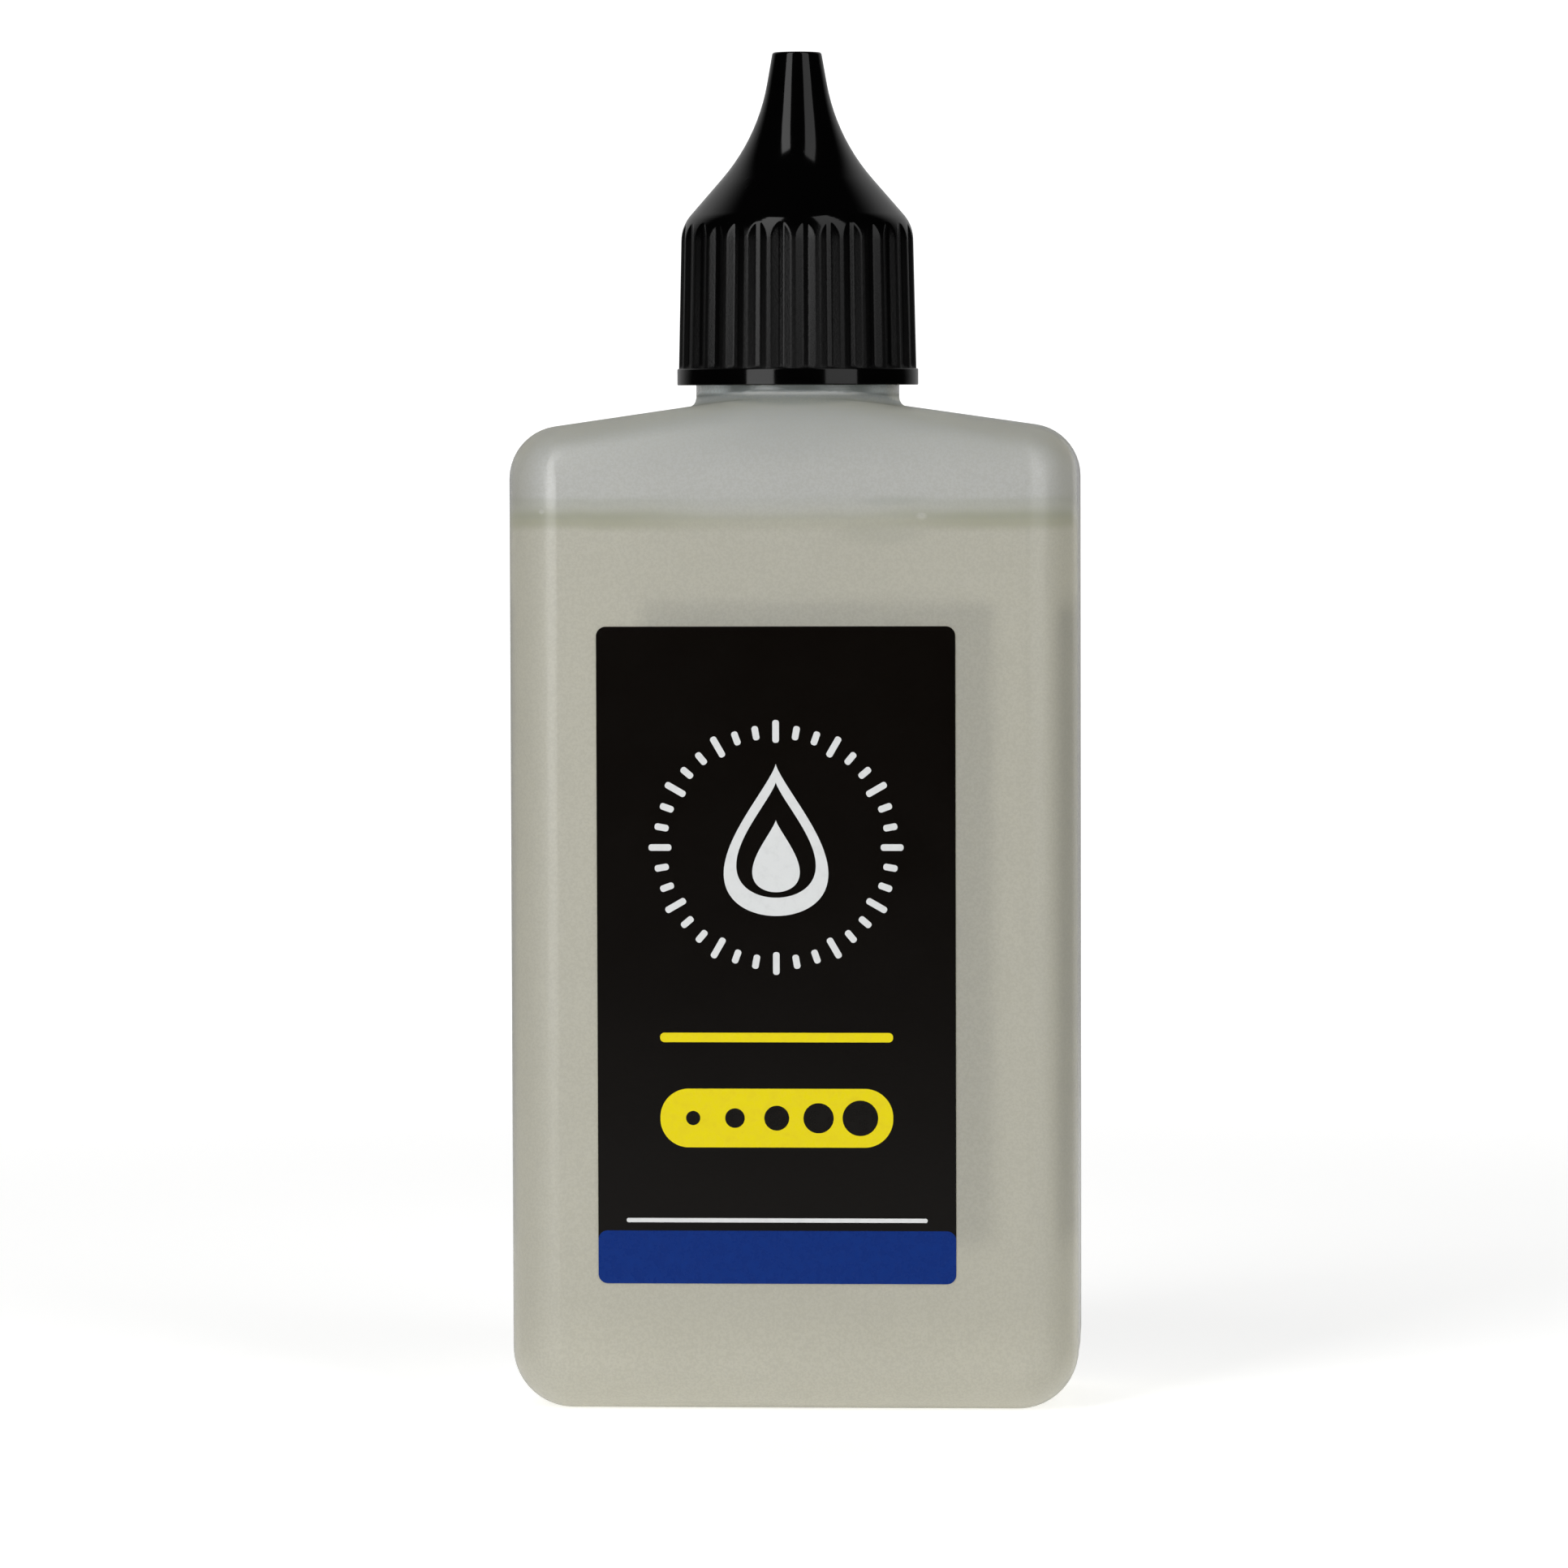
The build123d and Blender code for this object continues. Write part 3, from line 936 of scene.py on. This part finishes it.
def parting_line(mirrored):
    """A low bead along the body's outline. It stands out square to it and fades at its ends."""
    length = np.concatenate([[0], np.cumsum(np.linalg.norm(np.diff(outline, axis=0), axis=1))])
    stops = np.linspace(0, length[-1], 160)
    flat = np.stack([np.interp(stops, length, outline[:, i]) for i in (0, 1)], axis=1)
    slope = np.gradient(flat, axis=0)
    slope /= np.linalg.norm(slope, axis=1)[:, None]
    hand = -1 if mirrored else 1
    path = np.stack([hand * flat[:, 0], 0 * stops, flat[:, 1]], axis=1)
    out = np.stack([hand * slope[:, 1], 0 * stops, -slope[:, 0]], axis=1)
    across = np.broadcast_to([0.0, 1.0, 0.0], out.shape)
    fade = np.clip(np.minimum(stops, length[-1] - stops) / bead_fade, 0, 1)
    over = carry(path, out, across, bead, bead_height * fade)
    under = carry(path, out, across, bead[::-1] * (1, 0) - (0, bead_sunk), np.ones_like(stops))
    return close_ends(np.concatenate([over, under], axis=1))


beads = np.stack([parting_line(False), parting_line(True)])
bead_quads = grid_quads(*beads.shape[1:3])
both = np.vstack([bead_quads, bead_quads + beads[0].size // 3])
make_piece("parting_line", beads, both, wall_material, "bottle", "natural_polyethylene")


# %% [markdown]
# ## Labels and their ink
# Both labels are black film with a satin face. The front one carries a plain design of the
# kind such bottles have: a white drop in a ring of ticks, a yellow capsule with dots, and a
# blue foot. An image could hold it, but ink is flat shapes with crisp edges, and those are
# simple to compute: each is a strip between an outer and an inner outline, a hundredth of a
# millimetre thick, so that the edges stay crisp from any distance.

# %% Film and ink materials
film_specular = 0.2  # film and ink mirror less than bare plastic


def satin_film():
    """Black film with a satin face, a faint unevenness and a fine grain."""
    material, tree, output, place = new_material("black film")
    cloud = noise(tree, place, size=0.01, detail=4.0, roughness=0.6)
    waves = bump(tree, noise(tree, place, size=0.012, detail=1.0), distance=0.0002, strength=0.12)
    grain = noise(tree, place, size=0.0002)
    return satin_skin(
        material,
        tree,
        output,
        Base_Color=blend_colours(tree, cloud, colour(7, 4, 2), colour(11, 7, 4)),
        Roughness=number(tree, "MULTIPLY_ADD", cloud, 0.06, 0.2),
        Normal=bump(tree, grain, distance=0.00001, strength=0.3, normal=waves),
        Specular_IOR_Level=film_specular,
    )


def ink(name, main, thin):
    """Printing ink: its main colour, a little thinner in places, with a satin face."""
    material, tree, output, place = new_material(name)
    cloud = rise(tree, noise(tree, place, size=0.0012, detail=4.0, roughness=0.7), 0.35, 0.8)
    grain = noise(tree, place, size=0.0002)
    return satin_skin(
        material,
        tree,
        output,
        Base_Color=blend_colours(tree, cloud, main, thin),
        Roughness=number(tree, "MULTIPLY_ADD", cloud, 0.08, 0.26),
        Normal=bump(tree, grain, distance=0.00001, strength=0.3),
        Specular_IOR_Level=film_specular,
    )


film_material = satin_film()
white_ink = ink("white ink", colour(238, 240, 240), colour(228, 230, 230))
yellow_ink = ink("yellow ink", colour(248, 229, 24), colour(242, 219, 30))
blue_ink = ink("blue ink", colour(0, 44, 124), colour(2, 50, 132))
black_ink = ink("black ink", colour(14, 11, 8), colour(20, 17, 14))
for label in ("front_label", "back_label"):
    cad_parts[label].material_slots[0].material = film_material


# %% Shapes of the print, as outlines in the plane of the label
ROUND = np.linspace(0, 2 * pi, 96, endpoint=False)


def disc(x, z, radius):
    """A circle about a point."""
    return np.stack([x + radius * np.cos(ROUND), z + radius * np.sin(ROUND)], axis=1)


def drop(x, z, width, height):
    """A hanging drop: across by sin t times sin(t/2) to the power 1.6, down by cos t."""
    t = ROUND
    across = np.sin(t) * np.abs(np.sin(t / 2)) ** 1.6
    across *= width / 2 / np.abs(across).max()
    return np.stack([x + across, z + np.cos(t) * height / 2], axis=1)


def bar(x, z, width, height, corner, tilt=0.0):
    """A bar with round corners: a circle of the corner's radius, pushed apart to the four
    corners of the inner rectangle, and turned by tilt about the point."""
    t = ROUND + pi / len(ROUND)
    across = corner * np.cos(t) + np.sign(np.cos(t)) * (width / 2 - corner)
    up = corner * np.sin(t) + np.sign(np.sin(t)) * (height / 2 - corner)
    turned_x = across * cos(tilt) - up * sin(tilt)
    turned_z = across * sin(tilt) + up * cos(tilt)
    return np.stack([x + turned_x, z + turned_z], axis=1)


def shrunk(outline, share):
    """The outline drawn towards its middle."""
    middle = (outline.max(0) + outline.min(0)) / 2
    return middle + (outline - middle) * share


def stamp(shapes, back, front):
    """Flat shapes with a little thickness. Each is a ring of four rows, the inner outline
    behind, the outer one behind and in front, and the inner one in front. A full shape has
    its middle for an inner outline."""
    points, quads = [], []
    for outer, inner in shapes:
        rows = np.stack([inner, outer, outer, inner])
        depth = np.broadcast_to(np.array([back, back, front, front])[:, None], rows.shape[:2])
        is_ring = np.ptp(inner, axis=0).max() > 0
        quads.append(grid_quads(4, len(outer), round_rows=is_ring) + sum(len(p) for p in points))
        points.append(np.stack([rows[..., 0], depth, rows[..., 1]], axis=-1).reshape(-1, 3))
    return np.vstack(points), np.vstack(quads)


def full(outline):
    """A shape that is filled to its middle."""
    middle = (outline.max(0) + outline.min(0)) / 2
    return outline, np.broadcast_to(middle, outline.shape)


front_low, front_high = (np.array(corner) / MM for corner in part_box("front_label"))
back_low, back_high = (np.array(corner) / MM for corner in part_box("back_label"))
label_width = front_high[0] - front_low[0]
label_height = front_high[2] - front_low[2]
label_middle = (front_high[0] + front_low[0]) / 2
ink_thickness = 0.012
print(f"front label {label_width:.1f} by {label_height:.1f} mm")


# %% Emblem: a drop in a ring of ticks
emblem_height = front_low[2] + 46.0  # middle of the ring
emblem_radius = 12.2
tick_count = 36
tick_width = 0.7
tick_length = 1.5
long_tick = 0.9  # added to every third tick
tick_corner = 0.3
big_drop = drop(label_middle, emblem_height + 0.8, 11.0, 16.0)
small_drop = drop(label_middle, emblem_height - 0.9, 5.0, 7.6)
drop_hollow = 0.76  # the big drop's inner outline, as a share of its outer one


def tick(i):
    """One tick of the ring, which points to the ring's middle."""
    turn = i * 2 * pi / tick_count
    x = label_middle + emblem_radius * sin(turn)
    z = emblem_height + emblem_radius * cos(turn)
    length = tick_length + long_tick * (i % 3 == 0)
    return full(bar(x, z, tick_width, length, tick_corner, -turn))


emblem = [*map(tick, range(tick_count)), (big_drop, shrunk(big_drop, drop_hollow)), full(small_drop)]
print(f"emblem: {len(emblem)} shapes")


# %% Print on the labels
foot_height = 5.6
foot_corner_round = 1.0
foot_line = front_low[2] + foot_height + 1.1
capsule_height = front_low[2] + 17.5
capsule_width = 24.5
dot_count = 5
dot_spacing = 4.4
rule_height = front_low[2] + 26.0

white_shapes = [*emblem, full(bar(label_middle, foot_line, label_width - 6.0, 0.45, 0.2))]
yellow_shapes = [
    full(bar(label_middle, capsule_height, capsule_width, 6.2, 3.0)),
    full(bar(label_middle, rule_height, capsule_width, 1.0, 0.45)),
]
dot_places = label_middle + (np.arange(dot_count) - (dot_count - 1) / 2) * dot_spacing
dot_shapes = [full(disc(x, capsule_height, 0.75 + 0.28 * i)) for i, x in enumerate(dot_places)]


def label_foot(middle, low):
    """The blue foot of a label."""
    return full(bar(middle, low + foot_height / 2, label_width, foot_height, foot_corner_round))


front_foot = label_foot(label_middle, front_low[2])
back_foot = label_foot((back_high[0] + back_low[0]) / 2, back_low[2])
face, back_face = front_low[1], back_high[1]
for name, shapes, finish, surface, outwards in (
    ("print_white", white_shapes, white_ink, face, -1),
    ("print_yellow", yellow_shapes, yellow_ink, face, -1),
    ("print_blue", [front_foot], blue_ink, face, -1),
    ("print_dots", dot_shapes, black_ink, face - ink_thickness, -1),
    ("print_blue_back", [back_foot], blue_ink, back_face, 1),
):
    behind = surface - outwards * ink_thickness / 2
    points, quads = stamp(shapes, behind, surface + outwards * ink_thickness)
    make_piece(name, points, quads, finish, "bottle", "label_film", smooth=False)


# %% [markdown]
# ## Studio
# Two tall soft boxes stand left and right in front of the bottle, and a white sweep behind
# it. The cap mirrors exactly that: two upright streaks, a dark front, and pale rims at its
# edges. The world gives the sweep as a bright patch of sky behind the object. Glossy rays see a
# dimmer sweep, which keeps the cap's rims soft, and the camera sees white. The floor is a pale
# disc that fades out into it.

# %% Floor
floor_radius = 0.55
floor_fade = 0.35  # share of the radius at which the fade starts
floor_lift = 0.2
camera_lift = 0.4  # added where the camera looks


def pale_floor():
    """A pale matt floor that fades out at its rim, lifted to white for the camera."""
    material, tree, output, place = new_material("pale floor")
    matt = node(tree, "BsdfDiffuse", None, Color=(0.9, 0.9, 0.89, 1)).outputs[0]
    seen = node(tree, "LightPath").outputs["Is Camera Ray"]
    glow = number(tree, "MULTIPLY_ADD", seen, camera_lift, floor_lift)
    lift = node(tree, "Emission", None, Color=WHITE, Strength=glow).outputs[0]
    lit = node(tree, "AddShader", None, n0=matt, n1=lift).outputs[0]
    gone = node(tree, "BsdfTransparent").outputs[0]
    fade = rise(tree, length_of(tree, place), floor_radius * floor_fade, floor_radius)
    shown = mix_shaders(tree, fade, lit, gone)
    tree.links.new(shown, output.inputs["Surface"])
    return material


square = np.array([(-1, -1, 0), (1, -1, 0), (1, 1, 0), (-1, 1, 0)]) * floor_radius
floor_mesh = bpy.data.meshes.new("floor")
floor_mesh.from_pydata(square.tolist(), [], [(0, 1, 2, 3)])
floor_mesh.materials.append(pale_floor())
floor = bpy.data.objects.new("floor", floor_mesh)
bpy.context.scene.collection.objects.link(floor)
floor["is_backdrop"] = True
print(f"floor: {2 * floor_radius:.1f} m across")

# %% Sky
camera_azimuth = radians(3.0)
dim, bright = 0.03, 1.15  # light from all round, and added from behind
patch_edge = (0.52, 0.75)  # cosine of the angle from straight behind, from none to full
sweep_edge = (0.5, 0.9)
sweep_low, sweep_rise = 0.32, 0.5  # the mirrored sweep's level at the horizon, and its gain upwards
sweep_dim = 0.01


def studio_world():
    """Dim all round, bright in a wide patch behind the object, a softer patch for what mirrors
    it, and white for the camera."""
    world = bpy.data.worlds.new("studio")
    bpy.context.scene.world = world
    world.use_nodes = True
    tree = world.node_tree
    tree.nodes.clear()
    way = node(tree, "TexCoord").outputs["Generated"]
    ahead = (-sin(camera_azimuth), cos(camera_azimuth), 0)
    behind = node(tree, "VectorMath", {"operation": "DOT_PRODUCT"}, n0=way, n1=ahead).outputs["Value"]
    level = number(tree, "MULTIPLY_ADD", rise(tree, behind, *patch_edge), bright, dim)
    up = number(tree, "MAXIMUM", node(tree, "SeparateXYZ", None, Vector=way).outputs[2], 0.0)
    sweep = rise(tree, number(tree, "MULTIPLY_ADD", up, 0.35, behind), *sweep_edge)
    sweep = times(tree, sweep, number(tree, "MULTIPLY_ADD", up, sweep_rise, sweep_low))
    sweep = number(tree, "ADD", sweep, sweep_dim)
    path = node(tree, "LightPath").outputs
    mirrored = number(tree, "SUBTRACT", path["Is Glossy Ray"], path["Is Transmission Ray"], clamp=True)
    level = node(tree, "Mix", None, n0=mirrored, n2=level, n3=sweep).outputs[0]
    level = number(tree, "MAXIMUM", level, path["Is Camera Ray"])
    sky = node(tree, "Background", None, Color=WHITE, Strength=level).outputs[0]
    tree.links.new(sky, tree.nodes.new("ShaderNodeOutputWorld").inputs["Surface"])
    print(f"sky: {len(tree.nodes)} nodes")


studio_world()

# %% Soft boxes
for name, azimuth, away, wide, high, brightness in (
    ("left_box", -33.0, 0.55, 0.26, 1.2, 3.5),
    ("right_box", 45.0, 1.0, 0.57, 2.5, 1.78),
):
    lamp = bpy.data.lights.new(name, "AREA")
    lamp.shape = "RECTANGLE"
    lamp.size = wide
    lamp.size_y = high
    lamp.energy = brightness * pi * wide * high
    box = bpy.data.objects.new(name, lamp)
    bpy.context.scene.collection.objects.link(box)
    turn = radians(azimuth)
    box.location = (away * sin(turn), -away * cos(turn), high / 2)
    inwards = Vector((-box.location.x, -box.location.y, 0))
    box.rotation_euler = inwards.to_track_quat("-Z", "Y").to_euler()
    box.visible_camera = False
    print(f"{name}: {lamp.energy:.1f} W")

# %% [markdown]
# ## Camera
# The photograph was taken from about 0.8 m with a long lens, a little to the right of the
# front and a little above the middle, looking slightly down. The lens follows from how much
# the bottle's sides converge, and the aim from where its axis lies in the frame.

# %% Camera
frame_width = 1932  # pixels of the picture
focal_pixels = 9230
camera_distance = 0.8
camera_height = 0.108
camera_pitch = radians(3.03)
camera_roll = radians(-0.17)
camera_left = 0.0016  # how far the line of sight passes to the left of the axis

camera = bpy.data.objects.new("camera", bpy.data.cameras.new("camera"))
bpy.context.scene.collection.objects.link(camera)
camera.data.sensor_width = 36.0
camera.data.lens = focal_pixels / frame_width * camera.data.sensor_width
facing = Matrix.Rotation(camera_azimuth, 4, "Z")
place = facing @ Vector((-camera_left, -camera_distance, camera_height))
tilt = Matrix.Rotation(pi / 2 - camera_pitch, 4, "X") @ Matrix.Rotation(camera_roll, 4, "Z")
camera.matrix_world = Matrix.Translation(place) @ facing @ tilt
bpy.context.scene.camera = camera
bpy.context.scene.view_settings.view_transform = "Standard"
print(f"lens {camera.data.lens:.0f} mm at {camera_distance} m")

# %% [markdown]
# ## Finish
# How far the visual model grows past the solids' box is printed at the end.

# %% Print how far the model grows past the solids' box
new_low, new_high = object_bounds()
growth = np.array([cad_low, new_high]) - np.array([new_low, cad_high])
print("grown by mm:", (growth / MM).round(3).tolist())
